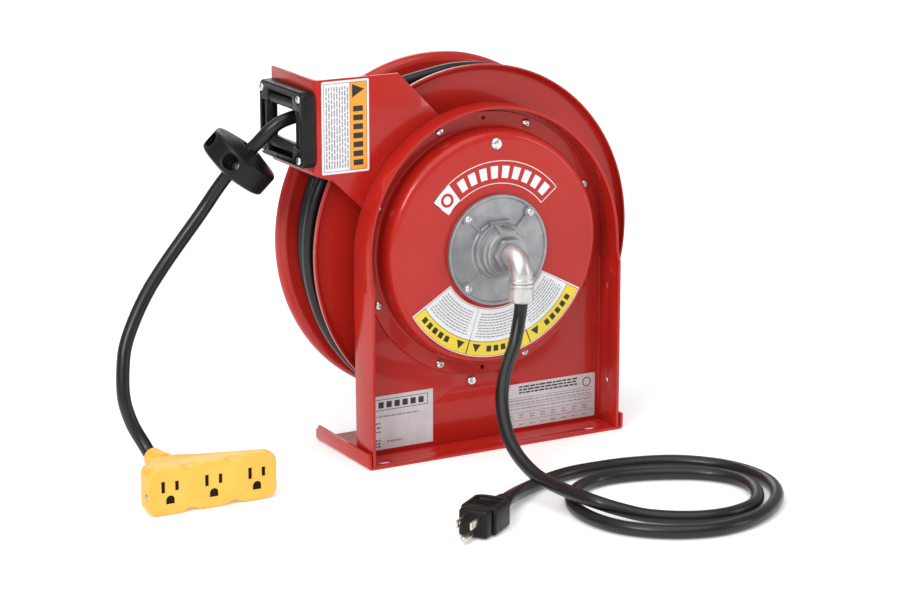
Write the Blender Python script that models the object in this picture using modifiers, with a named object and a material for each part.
"""Spring-retractable extension cord reel with a single-sided post.

World frame, in metres: X runs along the post's web, Y from the web's front face back to the spool,
and Z up. The origin is on the floor, below the spool's axis, in the plane of the web's front face.
"""

import math

import bmesh
import bpy
from mathutils import Matrix, Vector

# ---------------------------------------------------------------- driving dimensions
GAP = 0.0003                 # clearance between touching pieces
SHEET = 0.0027               # steel of the base and the post
HUB_HEIGHT = 0.187           # spool axis above the floor

POST_HALF = 0.129            # half width of the post, and outer radius of its half-round rim
POST_BEND = 0.0035
FLANGE_DEPTH = 0.0325        # straight side flanges, forward of the web
RIM_DEPTH_TOP = 0.0175       # rim depth at the top of the arch
RIM_DEPTH_SIDE = 0.0275      # rim depth where the arch meets the straight flanges
FLANGE_STEP_DROP = 0.027     # how far below the axis the straight flanges reach full depth
FLANGE_STEP_RISE = 0.012

BASE_LEFT = 0.0040           # base plate's overhang past the post's half width, left and right
BASE_RIGHT = 0.0052
BASE_FRONT = 0.0322
BASE_BACK = 0.0750
BASE_LIP = 0.0150
BASE_BEND = 0.0035
SLOT_WIDTH = 0.0090
SLOT_LENGTH = 0.0150

CASE_CROWN_RADIUS = 0.1075
CASE_BRIM_RADIUS = 0.1220
CASE_DEPTH = 0.0255
CASE_SHEET = 0.0015
CASE_EDGE = 0.0080
CASE_SCREW_CIRCLE = 0.1160
CASE_SCREWS = 8
ANCHOR_RADIUS = 0.0965       # anchor bolt's distance from the axis

SHAFT_RADIUS = 0.0100
SHAFT_BORE = 0.0040
SHAFT_TIP_RADIUS = 0.0068
BUSH_WALL = 0.0064
SPRING_TURNS = 7
SPRING_STRIP = 0.0012
SPRING_WIDTH = 0.0170

SPOOL_RADIUS = 0.1620
SPOOL_SHEET = 0.0015
SPOOL_FRONT = 0.0232         # mid-plane of the front disc
SPOOL_WIDTH = 0.0628         # between the two discs' mid-planes
SPOOL_LIP = 0.0080
DRUM_RADIUS = 0.0960
DRUM_WALL = 0.0015

CORD_RADIUS = 0.0060
CORD_STUB = 0.0040           # straight run where a cord meets a fitting
WRAPS = 5                    # cable wraps side by side on the drum
GROOVE_WRAP = 1              # the wrap whose outermost turn leaves for the guide
CABLE_LAYERS_RADIUS = 0.1480

RATCHET_RADIUS = 0.0640
RATCHET_ROOT = 0.0520
RATCHET_SHEET = 0.0040
RATCHET_LUGS = 4
PAWL_PIVOT_X = -0.0107
PAWL_PIVOT_DROP = 0.1280     # pawl pivot below the spool axis
PAWL_LENGTH = 0.0680
PAWL_SHEET = 0.0036
PAWL_LEAN = 22.0             # degrees the resting pawl leans away from the ratchet

COVER_RADIUS = 0.0507
COVER_FLOOR = 0.0037         # thickness of the cast cover's plate
COVER_RIM = 0.0015           # rim's height over the plate
BOSS_RING_RADIUS = 0.0257
BOSS_RADIUS = 0.0230
BOSS_NOSE_RADIUS = 0.0200
BOSS_STEP = 0.0107           # boss heights over the crown
BOSS_HEIGHT = 0.0222
CHAMBER_RADIUS = 0.0175
COVER_SCREW_CIRCLE = 0.0450
LUG_WIDTH = 0.0160
LUG_TOP = 0.0250             # lug's top over the axis

THREAD_RADIUS = 0.0098
NUT_RADIUS = 0.0160
NUT_THICKNESS = 0.0050
ELBOW_RADIUS = 0.0103
ELBOW_WALL = 0.0028
ELBOW_BEND = 0.0164
ELBOW_STUB = 0.0012           # straight part at each end of the bend
GLAND_RADIUS = 0.0113
GLAND_LENGTH = 0.0174

ARM_SHEET = 0.0030
ARM_X = -0.1650              # outer face of the guide arm's end plate
ARM_TOP_RAISE = 0.1627         # heights of the guide arm's edges above the spool axis
ARM_BOTTOM_RAISE = 0.0780
ARM_END_DEPTH = 0.0880
ARM_BEND = 0.0058

GUIDE_WIDTH = 0.0880
GUIDE_HEIGHT = 0.0680
GUIDE_DEPTH = 0.0125
GUIDE_RAISE = 0.1190         # guide centre above the spool axis
ROLLER_RADIUS = 0.0058
ROLLER_SPREAD_Y = 0.0310     # vertical rollers' axes from the guide's centre
ROLLER_SPREAD_Z = 0.0200     # horizontal rollers' axes from the guide's centre
ROLLER_REACH_Y = 0.0246      # half length of the horizontal rollers' recess
ROLLER_REACH_Z = 0.0164      # half length of the vertical rollers' recess
GUIDE_BAR_Y = 0.0385         # inner faces of the outer bars
GUIDE_BAR_Z = 0.0275
GUIDE_SCREW_Y = 0.0368
GUIDE_SCREW_Z = 0.0270

STOP_RADIUS = 0.0335
STOP_RIM = 0.0200
STOP_LENGTH = 0.0310

TAP_PITCH = 0.0405
TAP_HEIGHT = 0.0420
TAP_DEPTH = 0.0460           # face to the root of the cord socket
TAP_FACE = 0.0120            # depth of the tap's face plate
TAP_CENTRE_X = -0.2955
TAP_FRONT_Y = -0.0580
TAP_END = 0.0195             # from an end outlet's centre to the tap's end
BLADE_SPACING = 0.0127       # standard spacing of a 15 A plug's blades
PIN_DROP = 0.0119            # ground pin below the blades

PLUG_AT = (-0.1043, -0.2071, 0.0130)
PLUG_HEADING = (-0.804, -0.594, 0.0)

ROUND = 50                   # sides of the large round pieces
SMALL_ROUND = 20
SCREW_ROUND = 10

SPOOL_BACK = SPOOL_FRONT + SPOOL_WIDTH
DRUM_FRONT = SPOOL_FRONT + SPOOL_SHEET / 2 + GAP
DRUM_BACK = SPOOL_BACK - SPOOL_SHEET / 2 - GAP
WRAP_PITCH = (DRUM_BACK - DRUM_FRONT) / WRAPS
GROOVE_Y = DRUM_FRONT + WRAP_PITCH * (GROOVE_WRAP + 0.5)
LAST_TURN_RADIUS = CABLE_LAYERS_RADIUS + CORD_RADIUS
CROWN_Y = -CASE_DEPTH
COVER_BACK_Y = CROWN_Y - GAP
BOSS_FRONT_Y = CROWN_Y - BOSS_HEIGHT
BUSH_BORE = SHAFT_RADIUS + GAP
BUSH_RADIUS = BUSH_BORE + BUSH_WALL
HUB_HOLE = BUSH_RADIUS + GAP
ARM_FRONT_Y = SHEET + GAP
GUIDE_BACK_X = ARM_X - GAP
GUIDE_FRONT_X = GUIDE_BACK_X - GUIDE_DEPTH
GUIDE_Y = ARM_FRONT_Y + ARM_END_DEPTH / 2
GUIDE_Z = HUB_HEIGHT + GUIDE_RAISE
ARM_TOP = HUB_HEIGHT + ARM_TOP_RAISE
ARM_BOTTOM = HUB_HEIGHT + ARM_BOTTOM_RAISE
ROLLER_X = GUIDE_BACK_X - GUIDE_DEPTH / 2
NUT_BACK_Y = BOSS_FRONT_Y - GAP
NUT_FRONT_Y = NUT_BACK_Y - NUT_THICKNESS
ELBOW_START_Y = NUT_FRONT_Y - GAP
ELBOW_DROP_Y = ELBOW_START_Y - ELBOW_STUB - ELBOW_BEND
ELBOW_END_Z = HUB_HEIGHT - ELBOW_BEND - 0.0045
GLAND_TOP_Z = ELBOW_END_Z - GAP
GLAND_BOTTOM_Z = GLAND_TOP_Z - GLAND_LENGTH


# ---------------------------------------------------------------- scene, collections, materials
def clear_scene():
    for item in list(bpy.data.objects):
        bpy.data.objects.remove(item, do_unlink=True)


def new_collection(name):
    collection = bpy.data.collections.new(name)
    bpy.context.scene.collection.children.link(collection)
    return collection


clear_scene()
REEL = new_collection("extension_cord_reel")
CUTTERS = new_collection("cutters")


def principled(name, colour, roughness, metallic):
    made = bpy.data.materials.new(name)
    made.use_nodes = True
    shader = made.node_tree.nodes["Principled BSDF"]
    shader.inputs["Base Color"].default_value = (*colour, 1.0)
    shader.inputs["Roughness"].default_value = roughness
    shader.inputs["Metallic"].default_value = metallic
    return made


RED_PAINT = principled("red_paint", (0.52, 0.03, 0.03), 0.32, 0.0)
CAST_ALUMINIUM = principled("cast_aluminium", (0.55, 0.56, 0.57), 0.42, 1.0)
PLATED_STEEL = principled("plated_steel", (0.70, 0.70, 0.68), 0.28, 1.0)
SHAFT_STEEL = principled("shaft_steel", (0.45, 0.45, 0.46), 0.35, 1.0)
SPRING_STEEL = principled("spring_steel", (0.25, 0.27, 0.32), 0.38, 1.0)
BRONZE = principled("bronze", (0.55, 0.38, 0.18), 0.40, 1.0)
BRASS = principled("brass", (0.75, 0.58, 0.25), 0.30, 1.0)
BLACK_RUBBER = principled("black_rubber", (0.018, 0.017, 0.018), 0.48, 0.0)
BLACK_PLASTIC = principled("black_plastic", (0.022, 0.022, 0.024), 0.42, 0.0)
YELLOW_PLASTIC = principled("yellow_plastic", (0.92, 0.55, 0.09), 0.42, 0.0)
INSULATOR = principled("insulator", (0.20, 0.10, 0.05), 0.55, 0.0)
CARBON = principled("carbon", (0.03, 0.03, 0.03), 0.60, 0.0)


# ---------------------------------------------------------------- shape helpers
def hub_point(radius, angle, y):
    """A point at a radius and an angle around the spool's axis, counted from +X towards +Z."""
    return Vector((radius * math.cos(angle), y, HUB_HEIGHT + radius * math.sin(angle)))


def arc_points(centre, radius, start, end, steps):
    """Points of an arc in a plane, from one angle to another, both ends included."""
    angles = [start + (end - start) * k / steps for k in range(steps + 1)]
    return [(centre[0] + radius * math.cos(a), centre[1] + radius * math.sin(a)) for a in angles]


def add_object(name, data, material=None, collection=None):
    made = bpy.data.objects.new(name, data)
    (collection or REEL).objects.link(made)
    if material:
        data.materials.append(material)
    return made


def finish_mesh(made, smooth_angle=35):
    made.data.shade_smooth()
    made.data.set_sharp_from_angle(angle=math.radians(smooth_angle))
    return made


def mesh_from(name, build):
    data = bpy.data.meshes.new(name)
    shape = bmesh.new()
    build(shape)
    shape.to_mesh(data)
    shape.free()
    return data


def block(name, low, high, material=None, collection=None):
    size = [high[k] - low[k] for k in range(3)]
    middle = [(high[k] + low[k]) / 2 for k in range(3)]
    place = Matrix.Translation(middle) @ Matrix.Diagonal((*size, 1.0))
    data = mesh_from(name, lambda shape: bmesh.ops.create_cube(shape, size=1.0, matrix=place))
    return add_object(name, data, material, collection)


def rod_matrix(start, end):
    direction = Vector(end) - Vector(start)
    turn = direction.to_track_quat("Z", "Y").to_matrix().to_4x4()
    return Matrix.Translation((Vector(start) + Vector(end)) / 2) @ turn


def rods(name, ends, radius, material=None, collection=None, sides=SMALL_ROUND, spin=0.0):
    """Solid cylinders that don't meet, each from a start to an end, in one mesh."""
    def build(shape):
        for start, end in ends:
            length = (Vector(end) - Vector(start)).length
            place = rod_matrix(start, end) @ Matrix.Rotation(spin, 4, "Z")
            bmesh.ops.create_cone(shape, cap_ends=True, segments=sides, radius1=radius,
                                  radius2=radius, depth=length, matrix=place)
    return finish_mesh(add_object(name, mesh_from(name, build), material, collection))


def turned(name, profile, material, origin=(0.0, 0.0, HUB_HEIGHT), axis="-Y", steps=ROUND,
           closed=True):
    """A turned piece. The profile is (radius, place along Y, or along the given axis), and it
    runs along the front, down the outer side and back, so that its faces point outwards."""
    sign = -1.0 if axis == "-Y" else 1.0
    data = bpy.data.meshes.new(name)
    count = len(profile)
    edges = [(k, k + 1) for k in range(count - 1)]
    if closed:
        edges.append((count - 1, 0))
    data.from_pydata([(radius, 0.0, sign * place) for radius, place in profile], edges, [])
    made = add_object(name, data, material)
    made.location = origin
    if axis == "-Y":
        made.rotation_euler = (math.radians(90), 0.0, 0.0)
    elif axis == "+Y":
        made.rotation_euler = (math.radians(-90), 0.0, 0.0)
    elif axis == "-X":
        made.rotation_euler = (0.0, math.radians(-90), 0.0)
    screw = made.modifiers.new("turn", "SCREW")
    screw.axis = "Z"
    screw.steps = steps
    screw.render_steps = steps
    screw.use_merge_vertices = True
    screw.merge_threshold = 0.00001
    screw.use_smooth_shade = True
    return made


def tube(name, points, radius, material, resolution=3):
    """A round wire or cord through the given points."""
    data = bpy.data.curves.new(name, "CURVE")
    data.dimensions = "3D"
    data.bevel_depth = radius
    data.bevel_resolution = resolution
    data.use_fill_caps = True
    spline = data.splines.new("POLY")
    spline.points.add(len(points) - 1)
    for target, point in zip(spline.points, points):
        target.co = (*point, 1.0)
    return add_object(name, data, material)


def plate(name, outline, thickness, place, material, holes=()):
    """A flat piece whose outline lies in the place's own XY plane, with any holes."""
    data = bpy.data.curves.new(name, "CURVE")
    data.dimensions = "2D"
    data.fill_mode = "BOTH"
    data.extrude = thickness / 2
    for loop in [outline, *holes]:
        spline = data.splines.new("POLY")
        spline.points.add(len(loop) - 1)
        spline.use_cyclic_u = True
        for target, (x, y) in zip(spline.points, loop):
            target.co = (x, y, 0.0, 1.0)
    made = add_object(name, data, material)
    made.matrix_world = place
    return made


def prism(name, outline, thickness, place, material=None, collection=None):
    """A flat piece without holes, as a mesh, centred on the place's own XY plane."""
    def build(shape):
        low = [shape.verts.new((x, y, -thickness / 2)) for x, y in outline]
        high = [shape.verts.new((x, y, thickness / 2)) for x, y in outline]
        shape.faces.new(low)
        shape.faces.new(high)
        for k in range(len(outline)):
            shape.faces.new((low[k - 1], low[k], high[k], high[k - 1]))
        bmesh.ops.recalc_face_normals(shape, faces=shape.faces)
    made = add_object(name, mesh_from(name, build), material, collection)
    made.matrix_world = place
    return finish_mesh(made)


def as_mesh(curve_object):
    """The mesh object that takes a curve object's place, so that it can be cut or joined."""
    bpy.context.view_layer.update()
    shape = curve_object.evaluated_get(bpy.context.evaluated_depsgraph_get())
    data = bpy.data.meshes.new_from_object(shape)
    welded = bmesh.new()
    welded.from_mesh(data)
    bmesh.ops.remove_doubles(welded, verts=welded.verts, dist=0.000002)
    welded.to_mesh(data)
    welded.free()
    name = curve_object.name
    place = curve_object.matrix_world.copy()
    owner = curve_object.users_collection[0]
    bpy.data.objects.remove(curve_object, do_unlink=True)
    made = bpy.data.objects.new(name, data)
    owner.objects.link(made)
    made.matrix_world = place
    return finish_mesh(made)


def as_cutter(made):
    for owner in list(made.users_collection):
        owner.objects.unlink(made)
    CUTTERS.objects.link(made)
    made.hide_render = True
    made.display_type = "WIRE"
    return made


def boolean(made, tool, operation):
    as_cutter(tool)
    step = made.modifiers.new(tool.name, "BOOLEAN")
    step.operation = operation
    step.solver = "EXACT"
    step.object = tool
    return made


def cut(made, tool):
    return boolean(made, tool, "DIFFERENCE")


def join(made, tool):
    return boolean(made, tool, "UNION")


def drill(made, name, ends, radius, sides=8):
    return cut(made, rods(name, ends, radius, collection=CUTTERS, sides=sides, spin=0.13))


def face_outwards(shape, outward):
    """Turn an open sheet's faces so that its largest one looks the given way."""
    bmesh.ops.recalc_face_normals(shape, faces=shape.faces)
    largest = max(shape.faces, key=lambda face: face.calc_area())
    if largest.normal.dot(Vector(outward)) < 0:
        bmesh.ops.reverse_faces(shape, faces=shape.faces)


def solidify(made, thickness, offset):
    shell = made.modifiers.new("sheet", "SOLIDIFY")
    shell.thickness = thickness
    shell.offset = offset
    shell.use_even_offset = True
    shell.use_quality_normals = True
    return made


def smooth_route(points, spacing):
    """Evenly spaced points of a smooth curve through the route's own points."""
    route = [Vector(point) for point in points]
    padded = [2 * route[0] - route[1], *route, 2 * route[-1] - route[-2]]
    fine = []
    for k in range(1, len(padded) - 2):
        before, start, end, after = padded[k - 1:k + 3]
        for step in range(16):
            t = step / 16
            fine.append(0.5 * (2 * start + (end - before) * t
                               + (2 * before - 5 * start + 4 * end - after) * t * t
                               + (3 * start - before - 3 * end + after) * t ** 3))
    fine.append(route[-1])
    lengths = [0.0]
    for k in range(1, len(fine)):
        lengths.append(lengths[-1] + (fine[k] - fine[k - 1]).length)
    count = max(2, round(lengths[-1] / spacing))
    even = []
    segment = 0
    for k in range(count + 1):
        wanted = lengths[-1] * k / count
        while segment < len(fine) - 2 and lengths[segment + 1] < wanted:
            segment += 1
        span = lengths[segment + 1] - lengths[segment]
        even.append(fine[segment].lerp(fine[segment + 1], (wanted - lengths[segment]) / span))
    return even


# ---------------------------------------------------------------- frame
def make_base_plate():
    """Folded sheet: a flat bottom with a turned-up strip at each end, and two slots in front."""
    left = -POST_HALF - BASE_LEFT
    right = POST_HALF + BASE_RIGHT

    def build(shape):
        corners = [(left, BASE_LIP), (left, 0.0), (right, 0.0), (right, BASE_LIP)]
        front = [shape.verts.new((x, -BASE_FRONT, z)) for x, z in corners]
        back = [shape.verts.new((x, BASE_BACK, z)) for x, z in corners]
        for k in range(3):
            shape.faces.new((front[k], front[k + 1], back[k + 1], back[k]))
        folds = [shape.edges.get((front[k], back[k])) for k in (1, 2)]
        bmesh.ops.bevel(shape, geom=folds, offset=BASE_BEND, segments=3, affect="EDGES",
                        profile=0.5)
        face_outwards(shape, (0, 0, -1))
    made = add_object("base_plate", mesh_from("base_plate", build), RED_PAINT)
    solidify(made, SHEET, -1.0)
    slot_y = -BASE_FRONT + 0.0115
    for side, x in (("left", left + 0.0215), ("right", right - 0.0300)):
        ends = [((x, slot_y, -0.01), (x, slot_y, 0.02))]
        half = (SLOT_LENGTH - SLOT_WIDTH) / 2
        low = (x - half, slot_y - SLOT_WIDTH / 2, -0.01)
        high = (x + half, slot_y + SLOT_WIDTH / 2, 0.02)
        slot = block("slot_" + side, low, high, collection=CUTTERS)
        for end in (-1, 1):
            moved = [tuple(Vector(p) + Vector((end * half, 0, 0))) for p in ends[0]]
            round_end = rods(f"slot_{side}_{end}", [moved], SLOT_WIDTH / 2, collection=CUTTERS)
            join(slot, round_end)
        cut(made, slot)
    for end, x in (("left", left), ("right", right)):
        low = (x - 0.01, BASE_BACK - 0.004, BASE_LIP - 0.004)
        high = (x + 0.01, BASE_BACK + 0.01, BASE_LIP + 0.01)
        cut(made, block("strip_corner_" + end, low, high, collection=CUTTERS))
    return made


def flange_depth(z):
    """How far the post's folded edge stands forward of the web at a height."""
    over = z - HUB_HEIGHT
    if over >= 0:
        share = over / POST_HALF
        return RIM_DEPTH_SIDE + (RIM_DEPTH_TOP - RIM_DEPTH_SIDE) * share
    step_top = -FLANGE_STEP_DROP + FLANGE_STEP_RISE
    if over >= step_top:
        return RIM_DEPTH_SIDE + (FLANGE_DEPTH - RIM_DEPTH_SIDE) * 0.3 * over / step_top
    return FLANGE_DEPTH


def screw_angles():
    return [math.tau * (k + 0.5) / CASE_SCREWS for k in range(CASE_SCREWS)]


def make_frame_post():
    """One sheet: a flat web with an arched top, its edge folded forward all round."""
    bottom = SHEET + GAP
    sides = [bottom, HUB_HEIGHT - FLANGE_STEP_DROP, HUB_HEIGHT - FLANGE_STEP_DROP
             + FLANGE_STEP_RISE]
    outline = [(-POST_HALF, z) for z in sides]
    outline += arc_points((0.0, HUB_HEIGHT), POST_HALF, math.pi, 0.0, 32)
    outline += [(POST_HALF, z) for z in reversed(sides)]

    def build(shape):
        web = [shape.verts.new((x, SHEET, z)) for x, z in outline]
        shape.faces.new(web)
        folds = [shape.edges.get((web[k], web[k + 1])) for k in range(len(web) - 1)]
        grown = bmesh.ops.extrude_edge_only(shape, edges=folds)["geom"]
        for vertex in grown:
            if isinstance(vertex, bmesh.types.BMVert):
                vertex.co.y = -flange_depth(vertex.co.z)
        bmesh.ops.bevel(shape, geom=folds, offset=POST_BEND, segments=2, affect="EDGES",
                        profile=0.5)
        face_outwards(shape, (0, 1, 0))
    made = add_object("frame_post", mesh_from("frame_post", build), RED_PAINT)
    solidify(made, SHEET, -1.0)
    through = [(hub_point(CASE_SCREW_CIRCLE, a, -0.01), hub_point(CASE_SCREW_CIRCLE, a, 0.01))
               for a in screw_angles()]
    drill(made, "web_screw_holes", through, 0.0024)
    open_holes = [(hub_point(CASE_SCREW_CIRCLE, k * math.pi / 2, -0.01),
                   hub_point(CASE_SCREW_CIRCLE, k * math.pi / 2, 0.01)) for k in range(4)]
    drill(made, "web_open_holes", open_holes, 0.0020)
    drill(made, "web_hub_hole", [(hub_point(0, 0, -0.01), hub_point(0, 0, 0.01))], HUB_HOLE,
          sides=SMALL_ROUND)
    pivot = (PAWL_PIVOT_X, 0.0, HUB_HEIGHT - PAWL_PIVOT_DROP)
    drill(made, "web_pivot_hole", [((pivot[0], -0.01, pivot[2]), (pivot[0], 0.01, pivot[2]))],
          0.0033)
    side_holes = [((POST_HALF - 0.01, -0.0140, z), (POST_HALF + 0.01, -0.0140, z))
                  for z in (HUB_HEIGHT - 0.0530, HUB_HEIGHT - 0.1430)]
    drill(made, "flange_holes", side_holes, 0.0028)
    return made


def arm_outline():
    """The guide arm's flat part, in XZ: a tab from the end plate down to the post's arch."""
    return [(ARM_X, ARM_BOTTOM), (-0.1480, ARM_BOTTOM - 0.0060), (-0.0980, HUB_HEIGHT + 0.0240),
            (-0.0280, HUB_HEIGHT + 0.1070), (-0.0830, ARM_TOP), (ARM_X, ARM_TOP)]


def make_guide_arm():
    """One sheet behind the post's web, folded back at its end to carry the roller guide."""
    outline = arm_outline()

    def build(shape):
        flat = [shape.verts.new((x, ARM_FRONT_Y, z)) for x, z in outline]
        far = [shape.verts.new((ARM_X, ARM_FRONT_Y + ARM_END_DEPTH, z))
               for z in (ARM_TOP, ARM_BOTTOM)]
        shape.faces.new(flat)
        shape.faces.new((flat[0], flat[-1], far[0], far[1]))
        fold = shape.edges.get((flat[0], flat[-1]))
        bmesh.ops.bevel(shape, geom=[fold], offset=ARM_BEND, segments=4, affect="EDGES",
                        profile=0.5)
        face_outwards(shape, (0, -1, 0))
    made = add_object("guide_arm", mesh_from("guide_arm", build), RED_PAINT)
    solidify(made, ARM_SHEET, -1.0)
    low = (ARM_X - 0.01, GUIDE_Y - GUIDE_BAR_Y, GUIDE_Z - ROLLER_SPREAD_Z)
    high = (ARM_X + 0.01, GUIDE_Y + GUIDE_BAR_Y, GUIDE_Z + ROLLER_SPREAD_Z)
    cut(made, block("arm_window", low, high, collection=CUTTERS))
    drill(made, "arm_screw_holes", guide_screw_lines(0.02, 0.02), 0.0022)
    through = [(hub_point(CASE_SCREW_CIRCLE, a, -0.01), hub_point(CASE_SCREW_CIRCLE, a, 0.012))
               for a in screw_angles()[2:4]]
    drill(made, "arm_post_holes", through, 0.0024)
    return made


# ---------------------------------------------------------------- spring case and its fasteners
def make_spring_case():
    """Drawn steel hat: a flat brim on the web and a round crown with a soft edge."""
    outer = CASE_CROWN_RADIUS
    inner = CASE_CROWN_RADIUS - CASE_SHEET
    edge = (outer - CASE_EDGE, CROWN_Y + CASE_EDGE)
    soft = arc_points((edge[0], edge[1]), CASE_EDGE, -math.pi / 2, 0.0, 3)
    soft_inside = arc_points((edge[0], edge[1]), CASE_EDGE - CASE_SHEET, 0.0, -math.pi / 2, 3)
    profile = [(HUB_HOLE, CROWN_Y), *soft, (outer, -GAP - 2 * CASE_SHEET),
               (outer + CASE_SHEET, -GAP - CASE_SHEET), (CASE_BRIM_RADIUS, -GAP - CASE_SHEET),
               (CASE_BRIM_RADIUS, -GAP), (inner, -GAP), *soft_inside,
               (HUB_HOLE, CROWN_Y + CASE_SHEET)]
    made = turned("spring_case", profile, RED_PAINT)
    through = [(hub_point(CASE_SCREW_CIRCLE, a, -0.01), hub_point(CASE_SCREW_CIRCLE, a, 0.01))
               for a in screw_angles()]
    drill(made, "brim_screw_holes", through, 0.0027)
    open_holes = [(hub_point(CASE_SCREW_CIRCLE, k * math.pi / 2, -0.01),
                   hub_point(CASE_SCREW_CIRCLE, k * math.pi / 2, 0.01)) for k in range(4)]
    drill(made, "brim_open_holes", open_holes, 0.0020)
    anchor = [(hub_point(ANCHOR_RADIUS, math.pi / 2, CROWN_Y - 0.01),
               hub_point(ANCHOR_RADIUS, math.pi / 2, CROWN_Y + 0.01))]
    drill(made, "anchor_hole", anchor, 0.0033)
    cover = [(cover_screw_point(k, CROWN_Y - 0.01), cover_screw_point(k, CROWN_Y + 0.01))
             for k in range(4)]
    drill(made, "crown_screw_holes", cover, 0.0021)
    return made


def pan_screw(name, seat, outward, head_radius, head_height, shank_radius, length, material):
    """A pan-head screw whose head seats at a point and faces outward."""
    profile = [(0.0, head_height), (head_radius * 0.8, head_height), (head_radius, GAP * 0.5),
               (shank_radius, GAP * 0.5), (shank_radius, -length), (0.0, -length)]
    made = turned(name, profile, material, axis="Z", steps=SCREW_ROUND, closed=False)
    made.location = seat
    made.rotation_mode = "QUATERNION"
    made.rotation_quaternion = Vector(outward).to_track_quat("Z", "Y")
    return made


def make_case_screws():
    seat_y = -GAP - CASE_SHEET
    for k, angle in enumerate(screw_angles()):
        pan_screw(f"case_screw_{k + 1}", hub_point(CASE_SCREW_CIRCLE, angle, seat_y), (0, -1, 0),
                  0.0042, 0.0026, 0.0021, 0.0085, PLATED_STEEL)


def make_anchor_bolt():
    return pan_screw("spring_anchor_bolt", hub_point(ANCHOR_RADIUS, math.pi / 2, CROWN_Y),
                     (0, -1, 0), 0.0056, 0.0036, 0.0030, CASE_DEPTH - 0.0040, PLATED_STEEL)


def make_mainspring():
    """Flat spiral strip between the arbor and the case's wall, short of the anchor bolt."""
    start_radius = arbor_radius() + GAP + SPRING_STRIP / 2 + 0.0002
    end_radius = ANCHOR_RADIUS - 0.0055
    per_turn = 18
    count = SPRING_TURNS * per_turn
    data = bpy.data.curves.new("mainspring", "CURVE")
    data.dimensions = "3D"
    data.extrude = SPRING_WIDTH / 2
    spline = data.splines.new("POLY")
    spline.points.add(count)
    for k, target in enumerate(spline.points):
        share = k / count
        radius = start_radius + (end_radius - start_radius) * share
        angle = math.tau * SPRING_TURNS * share
        target.co = (radius * math.cos(angle), radius * math.sin(angle), 0.0, 1.0)
    made = add_object("mainspring", data, SPRING_STEEL)
    made.location = (0.0, -SPRING_WIDTH / 2 - 0.0035, HUB_HEIGHT)
    made.rotation_euler = (math.radians(90), 0.0, 0.0)
    solid = as_mesh(made)
    solidify(solid, SPRING_STRIP, 0.0)
    return solid


def make_bushes():
    """Two flanged bronze bushes: one in the case's crown, one in the web."""
    crown_inside = CROWN_Y + CASE_SHEET
    flange_front = crown_inside + GAP
    case_profile = [(BUSH_BORE, CROWN_Y + GAP), (BUSH_RADIUS, CROWN_Y + GAP),
                    (BUSH_RADIUS, flange_front), (0.0240, flange_front),
                    (0.0240, flange_front + 0.0020), (0.0150, flange_front + 0.0020),
                    (0.0150, flange_front + 0.0050), (BUSH_BORE, flange_front + 0.0050)]
    turned("case_bush", case_profile, BRONZE, steps=SMALL_ROUND)
    flange = SHEET + GAP
    post_profile = [(BUSH_BORE, -0.0030), (BUSH_RADIUS, -0.0030), (BUSH_RADIUS, flange),
                    (0.0260, flange), (0.0260, flange + 0.0025), (0.0160, flange + 0.0025),
                    (0.0160, flange + 0.0110), (BUSH_BORE, flange + 0.0110)]
    turned("post_bush", post_profile, BRONZE, steps=SMALL_ROUND)


# ---------------------------------------------------------------- shaft and spool
def make_shaft():
    """Hollow shaft that turns with the spool and carries the slip rings at its front."""
    shoulder = CROWN_Y - 0.0007
    front = BOSS_FRONT_Y + 0.0037
    back = SPOOL_BACK + 0.0100
    profile = [(SHAFT_BORE, front), (SHAFT_TIP_RADIUS, front), (SHAFT_TIP_RADIUS, shoulder),
               (SHAFT_RADIUS, shoulder), (SHAFT_RADIUS, back), (SHAFT_BORE, back)]
    return turned("main_shaft", profile, SHAFT_STEEL, steps=SMALL_ROUND)


def arbor_radius():
    return SHAFT_RADIUS + GAP + BUSH_WALL - 0.0004


def make_arbor():
    radius = arbor_radius()
    profile = [(SHAFT_RADIUS + GAP, -0.0165), (radius, -0.0165), (radius, -0.0035),
               (SHAFT_RADIUS + GAP, -0.0035)]
    return turned("spring_arbor", profile, SHAFT_STEEL, steps=SMALL_ROUND)


def flange_profile(middle, lip_side):
    """A thin disc whose edge curls away from the drum: lip_side is -1 in front, 1 at the back."""
    half = SPOOL_SHEET / 2
    centre = (SPOOL_RADIUS - half - SPOOL_LIP, middle + lip_side * SPOOL_LIP)
    face_angle = -lip_side * math.pi / 2
    outer = arc_points(centre, SPOOL_LIP + half, face_angle, 0.0, 3)
    inner = arc_points(centre, SPOOL_LIP - half, 0.0, face_angle, 3)
    lip_end = centre[1] + lip_side * 0.0015
    drum_side = middle - lip_side * half
    far_side = middle + lip_side * half
    loop = [(SHAFT_RADIUS + GAP, drum_side), *outer, (SPOOL_RADIUS, lip_end),
            (SPOOL_RADIUS - SPOOL_SHEET, lip_end), *inner, (SHAFT_RADIUS + GAP, far_side)]
    if lip_side < 0:
        loop.reverse()
    return loop


def make_spool():
    turned("spool_front_flange", flange_profile(SPOOL_FRONT, -1), RED_PAINT)
    turned("spool_rear_flange", flange_profile(SPOOL_BACK, 1), RED_PAINT)
    inside = DRUM_RADIUS - DRUM_WALL
    drum = [(inside, DRUM_FRONT), (DRUM_RADIUS, DRUM_FRONT), (DRUM_RADIUS, DRUM_BACK),
            (inside, DRUM_BACK)]
    turned("spool_drum", drum, RED_PAINT)


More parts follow.
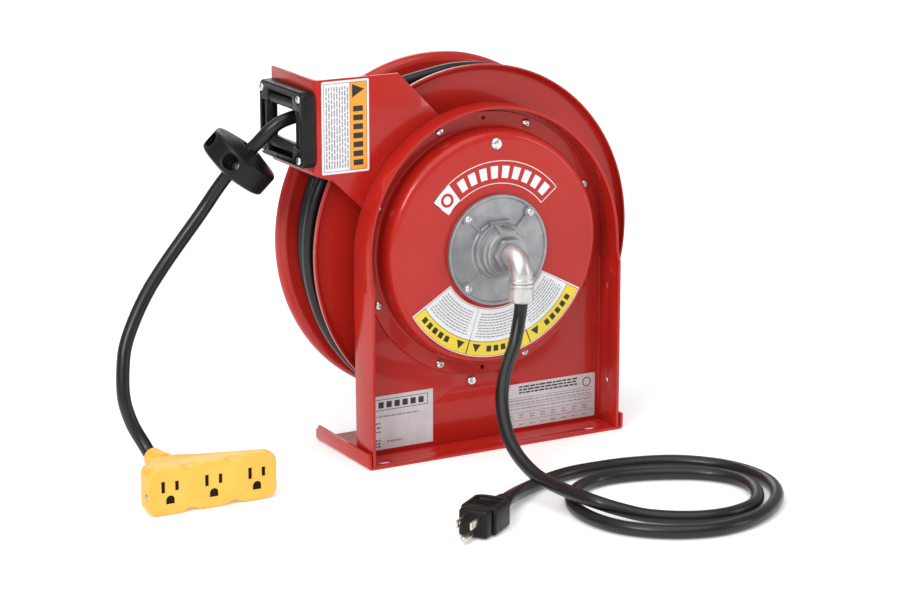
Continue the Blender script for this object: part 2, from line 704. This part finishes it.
def make_wound_cable():
    """The cable on the drum as one turned pack, with a flat band where its last turn lies."""
    bottom = DRUM_RADIUS + GAP
    top = CABLE_LAYERS_RADIUS
    valley = top - 0.45 * CORD_RADIUS
    groove = LAST_TURN_RADIUS - CORD_RADIUS - 0.0012
    front = DRUM_FRONT
    profile = [(bottom, front)]
    for wrap in range(WRAPS):
        middle = front + WRAP_PITCH * (wrap + 0.5)
        if wrap == GROOVE_WRAP:
            side = max(WRAP_PITCH / 2, CORD_RADIUS) + GAP
            profile += [(valley, middle - side), (groove, middle - side),
                        (groove, middle + side), (valley, middle + side)]
            continue
        before = middle - WRAP_PITCH / 2 if wrap - 1 != GROOVE_WRAP else None
        if before is not None:
            profile.append((valley, before + (GAP if wrap == 0 else 0.0)))
        profile += [(top, middle - 0.4 * CORD_RADIUS), (top, middle + 0.4 * CORD_RADIUS)]
    profile += [(valley, DRUM_BACK), (bottom, DRUM_BACK)]
    profile[1] = (valley, front)
    return turned("wound_cable", profile, BLACK_RUBBER)


# ---------------------------------------------------------------- latch
def ratchet_outline():
    """A disc with square lugs, the gaps between them centred on the pawl at rest."""
    lug_half = math.radians(7.5)
    points = []
    for lug in range(RATCHET_LUGS):
        middle = math.tau * (lug + 0.5) / RATCHET_LUGS
        points += arc_points((0, 0), RATCHET_RADIUS, middle - lug_half, middle + lug_half, 2)
        next_lug = middle + math.tau / RATCHET_LUGS
        points += arc_points((0, 0), RATCHET_ROOT, middle + lug_half * 1.5,
                             next_lug - lug_half * 1.5, 8)
    return points


def upright(y):
    """The place of a flat piece that stands in an XZ plane, its own Y pointing up."""
    return Matrix.Translation((0.0, y, 0.0)) @ Matrix.Rotation(math.radians(90), 4, "X")


def make_ratchet():
    back = SPOOL_FRONT - SPOOL_SHEET / 2 - GAP
    bore = arc_points((0, 0), 0.0300, 0.0, math.tau * 35 / 36, 35)
    place = Matrix.Translation((0, 0, HUB_HEIGHT)) @ upright(back - RATCHET_SHEET / 2)
    return plate("ratchet_ring", ratchet_outline(), RATCHET_SHEET, place, SHAFT_STEEL, [bore])


def pivot_point(y):
    return Vector((PAWL_PIVOT_X, y, HUB_HEIGHT - PAWL_PIVOT_DROP))


def make_latch():
    """The pawl on its pivot bolt, with a small coil spring around the bolt."""
    back = SPOOL_FRONT - SPOOL_SHEET / 2 - GAP
    middle = back - RATCHET_SHEET / 2
    lean = math.atan2(-PAWL_PIVOT_X, PAWL_PIVOT_DROP)
    eye = arc_points((0, 0), 0.0080, math.radians(150), math.radians(390), 10)
    tip = [(0.0045, PAWL_LENGTH - 0.0060), (0.0032, PAWL_LENGTH), (-0.0032, PAWL_LENGTH),
           (-0.0045, PAWL_LENGTH - 0.0060)]
    bore = arc_points((0, 0), 0.0033, 0.0, math.tau * 11 / 12, 11)
    place = Matrix.Translation(pivot_point(0)) @ upright(middle)
    place = place @ Matrix.Rotation(math.radians(PAWL_LEAN) - lean, 4, "Z")
    plate("latch_pawl", eye + tip, PAWL_SHEET, place, SHAFT_STEEL, [bore])
    pan_screw("pawl_pivot_bolt", pivot_point(-GAP), (0, -1, 0), 0.0048, 0.0030, 0.0030,
              back - GAP, PLATED_STEEL)
    turns = 2.5
    count = 20
    coil = []
    for k in range(count + 1):
        angle = math.tau * turns * k / count
        y = ARM_FRONT_Y + 0.0015 + 0.0100 * k / count
        coil.append(pivot_point(y) + Vector((0.0052 * math.cos(angle), 0, 0.0052 * math.sin(angle))))
    coil.append(coil[-1] + Vector((0.0, 0.0006, 0.0120)))
    tube("pawl_spring", coil, 0.0006, SPRING_STEEL, resolution=1)


# ---------------------------------------------------------------- slip rings
def ring_places():
    return [CROWN_Y - 0.0050 - 0.0055 * k for k in range(3)]


def make_slip_rings():
    """An insulating sleeve on the shaft's tip, three brass rings, and their brushes."""
    sleeve_front = BOSS_FRONT_Y + 0.0039
    sleeve = [(SHAFT_TIP_RADIUS + GAP, sleeve_front), (0.0092, sleeve_front),
              (0.0092, CROWN_Y - 0.0013), (SHAFT_TIP_RADIUS + GAP, CROWN_Y - 0.0013)]
    turned("slip_ring_sleeve", sleeve, INSULATOR, steps=SMALL_ROUND)
    outer = 0.0112
    for k, y in enumerate(ring_places()):
        ring = [(0.0095, y - 0.0015), (outer, y - 0.0015), (outer, y + 0.0015),
                (0.0095, y + 0.0015)]
        turned(f"slip_ring_{k + 1}", ring, BRASS, steps=SMALL_ROUND)
        block(f"brush_{k + 1}", (-0.0145, y - 0.0013, HUB_HEIGHT - 0.0015),
              (-outer - GAP, y + 0.0013, HUB_HEIGHT + 0.0015), CARBON)
    places = ring_places()
    block("brush_block", (-0.0166, places[2] - 0.0025, HUB_HEIGHT - 0.0035),
          (-0.0145 - GAP, places[0] + 0.0020, HUB_HEIGHT + 0.0035), INSULATOR)


# ---------------------------------------------------------------- cast cover and its fittings
def cover_screw_point(k, y):
    return hub_point(COVER_SCREW_CIRCLE, math.radians(45 + 90 * k), y)


def make_hub_cover():
    """Cast cover: a plate with a raised rim, four screw bosses on ribs, and a nose."""
    floor = COVER_BACK_Y - COVER_FLOOR
    rim = floor - COVER_RIM
    step = CROWN_Y - BOSS_STEP
    chamber = BOSS_FRONT_Y + 0.0030
    hole = THREAD_RADIUS + GAP
    profile = [(hole, BOSS_FRONT_Y), (BOSS_NOSE_RADIUS, BOSS_FRONT_Y), (BOSS_RADIUS, step),
               (BOSS_RING_RADIUS, step), (BOSS_RING_RADIUS, floor),
               (COVER_RADIUS - 0.0027, floor), (COVER_RADIUS - 0.0024, rim),
               (COVER_RADIUS, rim), (COVER_RADIUS, COVER_BACK_Y),
               (CHAMBER_RADIUS, COVER_BACK_Y), (CHAMBER_RADIUS, chamber), (hole, chamber)]
    made = turned("hub_cover", profile, CAST_ALUMINIUM, steps=40)
    seat = cover_seat()
    bosses = rods("cover_bosses", [(cover_screw_point(k, seat), cover_screw_point(k, floor + 0.0015))
                                   for k in range(4)], 0.0052, collection=CUTTERS)
    join(made, bosses)

    def build(shape):
        for k in range(4):
            turn = Matrix.Translation((0, 0, HUB_HEIGHT)) @ Matrix.Rotation(
                math.radians(-45 - 90 * k), 4, "Y")
            low = Vector((BOSS_RADIUS - 0.0020, floor - 0.0016, -0.0012))
            high = Vector((COVER_SCREW_CIRCLE - 0.0030, floor + 0.0010, 0.0012))
            size = Matrix.Diagonal((*(high - low), 1.0))
            bmesh.ops.create_cube(shape, size=1.0, matrix=turn
                                  @ Matrix.Translation((low + high) / 2) @ size)
    join(made, add_object("cover_ribs", mesh_from("cover_ribs", build), collection=CUTTERS))
    low = (-LUG_WIDTH / 2, BOSS_FRONT_Y - 0.0006, HUB_HEIGHT + 0.0185)
    high = (LUG_WIDTH / 2, floor + 0.0010, HUB_HEIGHT + LUG_TOP)
    join(made, block("cover_lug", low, high, collection=CUTTERS))
    lug_middle = (BOSS_FRONT_Y + floor) / 2
    drill(made, "lug_hole", [((0, lug_middle, HUB_HEIGHT + 0.0210),
                              (0, lug_middle, HUB_HEIGHT + LUG_TOP + 0.01))], 0.0029)
    screw_ends = [(cover_screw_point(k, seat - 0.01), cover_screw_point(k, COVER_BACK_Y + 0.01))
                  for k in range(4)]
    drill(made, "cover_screw_holes", screw_ends, 0.0021)
    return made


def cover_seat():
    """Front face of the cover's screw bosses."""
    return COVER_BACK_Y - COVER_FLOOR - 0.0026


def make_cover_screws():
    for k in range(4):
        pan_screw(f"cover_screw_{k + 1}", cover_screw_point(k, cover_seat()), (0, -1, 0), 0.0034,
                  0.0020, 0.0018, 0.0100, PLATED_STEEL)


def elbow_path(overrun):
    """From the thread, forward and round a quarter turn, then down."""
    centre_z = HUB_HEIGHT - ELBOW_BEND
    start = Vector((0.0, ELBOW_START_Y + overrun, HUB_HEIGHT))
    centre = (ELBOW_START_Y - ELBOW_STUB, centre_z)
    turn = [Vector((0.0, y, z)) for y, z in arc_points(centre, ELBOW_BEND, math.pi / 2,
                                                       math.pi, 6)]
    return [start, *turn, Vector((0.0, ELBOW_DROP_Y, ELBOW_END_Z - overrun))]


def make_conduit_fittings():
    """Locknut, hollow elbow and gland nut for the input cord."""
    nut = rods("hex_nut", [(hub_point(0, 0, NUT_BACK_Y), hub_point(0, 0, NUT_FRONT_Y))],
               NUT_RADIUS, CAST_ALUMINIUM, sides=6)
    nut.data.transform(Matrix.Translation((0, 0, HUB_HEIGHT)) @ Matrix.Rotation(
        math.radians(30), 4, "Y") @ Matrix.Translation((0, 0, -HUB_HEIGHT)))
    drill(nut, "nut_bore", [(hub_point(0, 0, NUT_FRONT_Y - 0.01), hub_point(0, 0, 0))],
          THREAD_RADIUS + GAP, sides=SMALL_ROUND)
    path = elbow_path(0.0)
    elbow = as_mesh(tube("elbow", path, ELBOW_RADIUS, CAST_ALUMINIUM, resolution=4))
    join(elbow, rods("elbow_thread", [(hub_point(0, 0, BOSS_FRONT_Y + 0.0018),
                                       hub_point(0, 0, ELBOW_START_Y - 0.0030))],
                     THREAD_RADIUS, collection=CUTTERS))
    join(elbow, rods("elbow_collar", [((0, ELBOW_DROP_Y, ELBOW_END_Z + 0.0042),
                                       (0, ELBOW_DROP_Y, ELBOW_END_Z))],
                     ELBOW_RADIUS + 0.0006, collection=CUTTERS))
    bore = as_mesh(tube("elbow_bore", elbow_path(0.012), ELBOW_RADIUS - ELBOW_WALL, None,
                        resolution=4))
    cut(elbow, bore)
    gland = rods("gland_nut", [((0, ELBOW_DROP_Y, GLAND_BOTTOM_Z), (0, ELBOW_DROP_Y, GLAND_TOP_Z))],
                 GLAND_RADIUS, CAST_ALUMINIUM, sides=SMALL_ROUND)
    edge = gland.modifiers.new("edge", "BEVEL")
    edge.width = 0.0012
    edge.segments = 2
    return gland


# ---------------------------------------------------------------- roller guide
def guide_screw_lines(out, back):
    lines = []
    for side in (-1, 1):
        for up in (-1, 1):
            y = GUIDE_Y + side * GUIDE_SCREW_Y
            z = GUIDE_Z + up * GUIDE_SCREW_Z
            lines.append(((GUIDE_FRONT_X - out, y, z), (ARM_X + back, y, z)))
    return lines


def make_roller_frame():
    """Moulded frame with four corner blocks that hold the rollers' journals."""
    low = (GUIDE_FRONT_X, GUIDE_Y - GUIDE_WIDTH / 2, GUIDE_Z - GUIDE_HEIGHT / 2)
    high = (GUIDE_BACK_X, GUIDE_Y + GUIDE_WIDTH / 2, GUIDE_Z + GUIDE_HEIGHT / 2)
    made = block("roller_frame", low, high, BLACK_PLASTIC)
    corner = bmesh.new()
    corner.from_mesh(made.data)
    along = [e for e in corner.edges if abs(e.verts[0].co.x - e.verts[1].co.x) > 0.001]
    bmesh.ops.bevel(corner, geom=along, offset=0.0060, segments=3, affect="EDGES", profile=0.5)
    corner.to_mesh(made.data)
    corner.free()
    reach = 0.02
    wide = block("guide_window_tall", (GUIDE_FRONT_X - reach, GUIDE_Y - ROLLER_REACH_Y,
                                       GUIDE_Z - GUIDE_BAR_Z),
                 (GUIDE_BACK_X + reach, GUIDE_Y + ROLLER_REACH_Y, GUIDE_Z + GUIDE_BAR_Z),
                 collection=CUTTERS)
    flat = block("guide_window_wide", (GUIDE_FRONT_X - 2 * reach, GUIDE_Y - GUIDE_BAR_Y,
                                       GUIDE_Z - ROLLER_REACH_Z),
                 (GUIDE_BACK_X + 2 * reach, GUIDE_Y + GUIDE_BAR_Y, GUIDE_Z + ROLLER_REACH_Z),
                 collection=CUTTERS)
    cut(made, wide)
    cut(made, flat)
    journals = []
    depth = JOURNAL_LENGTH + 0.0005
    for end in (-1, 1):
        for up in (-1, 1):
            y = GUIDE_Y + end * ROLLER_REACH_Y
            z = GUIDE_Z + up * ROLLER_SPREAD_Z
            journals.append(((ROLLER_X, y - end * 0.0020, z), (ROLLER_X, y + end * depth, z)))
            y = GUIDE_Y + up * ROLLER_SPREAD_Y
            z = GUIDE_Z + end * ROLLER_REACH_Z
            journals.append(((ROLLER_X, y, z - end * 0.0020), (ROLLER_X, y, z + end * depth)))
    drill(made, "journal_holes", journals, JOURNAL_RADIUS + GAP)
    drill(made, "guide_screw_holes", guide_screw_lines(0.02, 0.02), 0.0022)
    return made


JOURNAL_RADIUS = 0.0018
JOURNAL_LENGTH = 0.0028


def make_roller(name, middle, half_length, upright_roller):
    """A nylon roller with a journal at each end."""
    end = half_length - GAP
    tip = half_length + JOURNAL_LENGTH
    edge = 0.0006
    profile = [(0.0, tip), (JOURNAL_RADIUS, tip), (JOURNAL_RADIUS, end),
               (ROLLER_RADIUS - edge, end), (ROLLER_RADIUS, end - edge),
               (ROLLER_RADIUS, edge - end), (ROLLER_RADIUS - edge, -end),
               (JOURNAL_RADIUS, -end), (JOURNAL_RADIUS, -tip), (0.0, -tip)]
    made = turned(name, profile, BLACK_PLASTIC, axis="Z", steps=16, closed=False)
    made.location = middle
    if not upright_roller:
        made.rotation_euler = (math.radians(90), 0.0, 0.0)
    return made


def make_rollers():
    for name, up in (("roller_top", 1), ("roller_bottom", -1)):
        middle = (ROLLER_X, GUIDE_Y, GUIDE_Z + up * ROLLER_SPREAD_Z)
        make_roller(name, middle, ROLLER_REACH_Y, False)
    for name, side in (("roller_near", -1), ("roller_far", 1)):
        middle = (ROLLER_X, GUIDE_Y + side * ROLLER_SPREAD_Y, GUIDE_Z)
        make_roller(name, middle, ROLLER_REACH_Z, True)


def make_guide_screws():
    for k, (front, _) in enumerate(guide_screw_lines(0.0, 0.0)):
        pan_screw(f"guide_screw_{k + 1}", front, (-1, 0, 0), 0.0034, 0.0020, 0.0019,
                  GUIDE_DEPTH + ARM_SHEET + 0.0030, PLATED_STEEL)


# ---------------------------------------------------------------- reel cord, cable stop and tap
def last_turn():
    """The cable's last turn on the pack, up to where it leaves over the top."""
    exit_z = GUIDE_Z + 0.0055 - HUB_HEIGHT
    reach = math.hypot(ROLLER_X, exit_z)
    leave = math.atan2(exit_z, ROLLER_X) - math.acos(LAST_TURN_RADIUS / reach)
    turn = math.radians(330)
    steps = 30
    angles = [leave - turn + turn * k / steps for k in range(steps + 1)]
    return [hub_point(LAST_TURN_RADIUS, angle, GROOVE_Y) for angle in angles]


CABLE_ROUTE = [
    (-0.1000, 0.0420, 0.3250),
    (-0.1690, 0.0410, 0.3118),
    (-0.1870, 0.0440, 0.3035),
    (-0.2000, 0.0520, 0.2880),
    (-0.2130, 0.0590, 0.2735),
    (-0.2285, 0.0660, 0.2525),
    (-0.2470, 0.0700, 0.2265),
    (-0.2825, 0.0680, 0.1860),
    (-0.3067, 0.0600, 0.1590),
    (-0.3270, 0.0510, 0.1270),
    (-0.3345, 0.0440, 0.1030),
    (-0.3370, 0.0370, 0.0780),
    (-0.3325, 0.0310, 0.0565),
    (-0.3265, 0.0220, 0.0410),
]
STOP_AT = 4                  # the route point at the cable stop's middle
STOP_FACING = (-0.77, -0.40, 0.49)   # the way the stop's screw recesses look
TAP_SOCKET_X = -0.3230
TAP_SOCKET_Z = 0.0310
TAP_SOCKET_LENGTH = 0.0210


def tap_socket_y():
    return TAP_FRONT_Y + TAP_DEPTH + TAP_SOCKET_LENGTH


def make_reel_cord():
    end = Vector((TAP_SOCKET_X, tap_socket_y() + GAP, TAP_SOCKET_Z))
    route = [*last_turn(), *CABLE_ROUTE, end + Vector((0, CORD_STUB, 0))]
    points = [*smooth_route(route, 0.028), end]
    return tube("reel_cord", points, CORD_RADIUS, BLACK_RUBBER)


def make_cable_stop():
    """A biconical bumper in two halves, clamped around the cord."""
    middle = Vector(CABLE_ROUTE[STOP_AT])
    axis = (Vector(CABLE_ROUTE[STOP_AT - 1]) - Vector(CABLE_ROUTE[STOP_AT + 1])).normalized()
    across = axis.cross(Vector(STOP_FACING)).normalized()
    turn = Matrix((across, axis.cross(across), axis)).transposed().to_4x4()
    bore = CORD_RADIUS + 0.0014
    end_radius = 0.0130
    profile = [(bore, STOP_LENGTH / 2), (end_radius, STOP_LENGTH / 2),
               (STOP_RADIUS, STOP_RIM / 2), (STOP_RADIUS, -STOP_RIM / 2),
               (end_radius, -STOP_LENGTH / 2), (bore, -STOP_LENGTH / 2)]
    for k, side in enumerate((1, -1)):
        name = f"cable_stop_{k + 1}"
        half = turned(name, profile, BLACK_PLASTIC, axis="Z", steps=36)
        half.matrix_world = Matrix.Translation(middle) @ turn
        low = (-0.05, -0.05 if side > 0 else -GAP / 2, -0.05)
        high = (0.05, GAP / 2 if side > 0 else 0.05, 0.05)
        other = block(name + "_other_half", low, high, collection=CUTTERS)
        other.matrix_world = half.matrix_world
        cut(half, other)
        if side > 0:
            continue
        recess = rods(name + "_recess", [((x, -STOP_RADIUS - 0.01, 0), (x, -0.0160, 0))
                                         for x in (-0.0165, 0.0165)], 0.0068,
                      collection=CUTTERS)
        recess.matrix_world = half.matrix_world
        cut(half, recess)


def rounded_outline(corners, radius, steps=3):
    """A closed outline with each corner replaced by a short arc-like run of points."""
    points = []
    count = len(corners)
    for k in range(count):
        here = Vector(corners[k])
        before = (Vector(corners[k - 1]) - here).normalized()
        after = (Vector(corners[(k + 1) % count]) - here).normalized()
        start = here + before * radius
        end = here + after * radius
        for step in range(steps + 1):
            t = step / steps
            points.append(tuple((1 - t) ** 2 * start + 2 * t * (1 - t) * here + t * t * end))
    return points


def tap_face_outline():
    """Three lobes around the outlets, with shallow waists between them."""
    half_height = TAP_HEIGHT / 2
    half_length = TAP_PITCH + TAP_END
    waist = half_height - 0.0035
    lobe = TAP_PITCH / 2 - 0.0060
    top = [(-half_length, half_height)]
    for k in (-0.5, 0.5):
        middle = k * TAP_PITCH
        edge = TAP_PITCH / 2 - lobe
        top += [(middle - edge, half_height), (middle - edge / 3, waist),
                (middle + edge / 3, waist), (middle + edge, half_height)]
    top.append((half_length, half_height))
    bottom = [(-x, -z) for x, z in top]
    return rounded_outline([*top, *bottom], 0.0018, 2)


def tap_back_outline():
    """The tap's back from above: deepest where the cord enters, thin at the other end."""
    half_length = TAP_PITCH + TAP_END - 0.0008
    back = TAP_FRONT_Y + TAP_DEPTH
    socket = TAP_SOCKET_X - TAP_CENTRE_X
    front = TAP_FRONT_Y + TAP_FACE - 0.0015
    corners = [(-half_length, front), (-half_length, back - 0.0240), (socket - 0.0140, back - 0.0040),
               (socket - 0.0090, back), (socket + 0.0090, back), (socket + 0.0250, back - 0.0100),
               (socket + 0.0480, back - 0.0180), (half_length - 0.0060, back - 0.0290),
               (half_length, front)]
    return rounded_outline(corners, 0.0022, 2)


def make_tap():
    """Three outlets in a row in one moulded body, with a ribbed cord socket at its back."""
    centre_z = TAP_HEIGHT / 2 + 0.0002
    front_middle = TAP_FRONT_Y + TAP_FACE / 2
    place = Matrix.Translation((TAP_CENTRE_X, front_middle, centre_z)) @ upright(0)
    made = prism("tap_body", tap_face_outline(), TAP_FACE, place, YELLOW_PLASTIC)
    place = Matrix.Translation((TAP_CENTRE_X, 0.0, centre_z))
    back = prism("tap_back", tap_back_outline(), TAP_HEIGHT - 0.0050, place, None, CUTTERS)
    join(made, back)
    socket_start = TAP_FRONT_Y + TAP_DEPTH - 0.0040
    ribs = [(0.0, socket_start)]
    ring = (tap_socket_y() - socket_start) / 5
    for k in range(5):
        radius = 0.0105 - 0.0004 * k
        start = socket_start + ring * k
        ribs += [(radius, start), (radius, start + 0.6 * ring)]
        if k < 4:
            ribs += [(radius - 0.0016, start + 0.6 * ring), (radius - 0.0016, start + ring)]
    ribs += [(radius, tap_socket_y()), (0.0, tap_socket_y())]
    socket = turned("tap_socket", ribs, None, origin=(TAP_SOCKET_X, 0.0, TAP_SOCKET_Z),
                    steps=20, closed=False)
    join(made, socket)
    front = TAP_FRONT_Y - 0.01
    deep = TAP_FRONT_Y + 0.0090
    slots = []
    for k in (-1, 0, 1):
        x = TAP_CENTRE_X + k * TAP_PITCH
        z = centre_z + 0.0045
        for side, half_slot in ((-1, 0.0045), (1, 0.0038)):
            slot_x = x + side * BLADE_SPACING / 2
            slots.append(block(f"slot_{k}_{side}", (slot_x - 0.0014, front, z - half_slot),
                               (slot_x + 0.0014, deep, z + half_slot), collection=CUTTERS))
        pin_z = z - PIN_DROP
        slots.append(rods(f"pin_hole_{k}", [((x, front, pin_z), (x, deep, pin_z))], 0.0033,
                          collection=CUTTERS, sides=SCREW_ROUND))
    for slot in slots:
        cut(made, slot)
    return made


# ---------------------------------------------------------------- input cord and plug
CORD_ROUTE = [
    (-0.0020, -0.0715, 0.1330),
    (-0.0100, -0.0770, 0.1120),
    (-0.0240, -0.0860, 0.0920),
    (-0.0360, -0.1000, 0.0700),
    (-0.0430, -0.1200, 0.0490),
    (-0.0460, -0.1430, 0.0345),
    (-0.0440, -0.1700, 0.0235),
    (-0.0400, -0.1930, 0.0198),
    (-0.0370, -0.2200, 0.0195),
    (-0.0290, -0.2480, 0.0180),
    (-0.0140, -0.2610, 0.0130),
    (0.0060, -0.2730, 0.0078),
    (0.0320, -0.2880, 0.0061),
    (0.0560, -0.2970, 0.0061),
    (0.0800, -0.2970, 0.0061),
    (0.1040, -0.2880, 0.0061),
    (0.1220, -0.2680, 0.0061),
    (0.1320, -0.2440, 0.0061),
    (0.1300, -0.2200, 0.0061),
    (0.1130, -0.1960, 0.0061),
    (0.0830, -0.1780, 0.0061),
    (0.0500, -0.1680, 0.0061),
    (0.0200, -0.1680, 0.0061),
    (-0.0050, -0.1790, 0.0061),
    (-0.0230, -0.1980, 0.0061),
    (-0.0340, -0.2220, 0.0061),
    (-0.0360, -0.2500, 0.0061),
    (-0.0290, -0.2780, 0.0061),
    (-0.0120, -0.3010, 0.0061),
    (0.0130, -0.3180, 0.0061),
    (0.0420, -0.3260, 0.0061),
    (0.0740, -0.3220, 0.0061),
    (0.1060, -0.3060, 0.0061),
    (0.1340, -0.2800, 0.0061),
    (0.1500, -0.2490, 0.0061),
    (0.1520, -0.2170, 0.0061),
    (0.1400, -0.1840, 0.0061),
    (0.1120, -0.1560, 0.0061),
    (0.0750, -0.1420, 0.0061),
    (0.0380, -0.1380, 0.0061),
    (0.0080, -0.1390, 0.0061),
    (-0.0200, -0.1470, 0.0061),
    (-0.0480, -0.1620, 0.0075),
    (-0.0720, -0.1810, 0.0110),
]
PLUG_SOCKET = 0.0200         # length of the plug's cord socket
PLUG_NOSE = 0.0460           # from the socket to the plug's face


def make_input_cord():
    start = Vector((0.0, ELBOW_DROP_Y, GLAND_BOTTOM_Z - GAP))
    heading = Vector(PLUG_HEADING).normalized()
    end = Vector(PLUG_AT) - heading * (PLUG_SOCKET + GAP)
    route = [start - Vector((0, 0, CORD_STUB)), *CORD_ROUTE, end - heading * CORD_STUB]
    points = [start, *smooth_route(route, 0.027), end]
    return tube("input_cord", points, CORD_RADIUS, BLACK_RUBBER)


def plug_place():
    """The plug's own frame: X along its heading, Y to its left, Z up."""
    heading = Vector(PLUG_HEADING).normalized()
    left = Vector((0, 0, 1)).cross(heading)
    turn = Matrix((heading, left, (0, 0, 1))).transposed().to_4x4()
    return Matrix.Translation(PLUG_AT) @ turn


def make_plug():
    """A moulded plug lying on the floor: body with side grips, two blades and a ground pin."""
    place = plug_place()
    outline = [(0.0, -0.0100), (0.0040, -0.0165), (0.0350, -0.0165), (0.0400, -0.0125),
               (PLUG_NOSE, -0.0115), (PLUG_NOSE, 0.0115), (0.0400, 0.0125), (0.0350, 0.0165),
               (0.0040, 0.0165), (0.0, 0.0100)]
    body = prism("plug_body", outline, 0.0250, place, BLACK_RUBBER)
    socket = rods("plug_socket", [((-PLUG_SOCKET, 0, 0), (0.0040, 0, 0))], 0.0085,
                  collection=CUTTERS, sides=SMALL_ROUND)
    socket.matrix_world = place
    join(body, socket)
    grip = block("plug_grip", (0.0090, -0.0110, 0.0095), (0.0250, 0.0110, 0.0200),
                 collection=CUTTERS)
    grip.matrix_world = place
    cut(body, grip)
    for k, side in enumerate((-1, 1)):
        y = side * BLADE_SPACING / 2
        blade = block(f"plug_blade_{k + 1}", (PLUG_NOSE + GAP, y - 0.00075, 0.0013),
                      (PLUG_NOSE + 0.0180, y + 0.00075, 0.0077), BRASS)
        blade.matrix_world = place
    pin_z = 0.0045 - PIN_DROP
    pin = rods("plug_ground_pin", [((PLUG_NOSE + GAP, 0, pin_z), (PLUG_NOSE + 0.0205, 0, pin_z))],
               0.0024, BRASS, sides=16)
    pin.matrix_world = place


# ---------------------------------------------------------------- assembly
def make_reel():
    make_base_plate()
    make_frame_post()
    make_guide_arm()
    make_spring_case()
    make_case_screws()
    make_anchor_bolt()
    make_mainspring()
    make_bushes()
    make_shaft()
    make_arbor()
    make_spool()
    make_wound_cable()
    make_ratchet()
    make_latch()
    make_slip_rings()
    make_hub_cover()
    make_cover_screws()
    make_conduit_fittings()
    make_roller_frame()
    make_rollers()
    make_guide_screws()
    make_reel_cord()
    make_cable_stop()
    make_tap()
    make_input_cord()
    make_plug()
    bpy.context.view_layer.update()


make_reel()
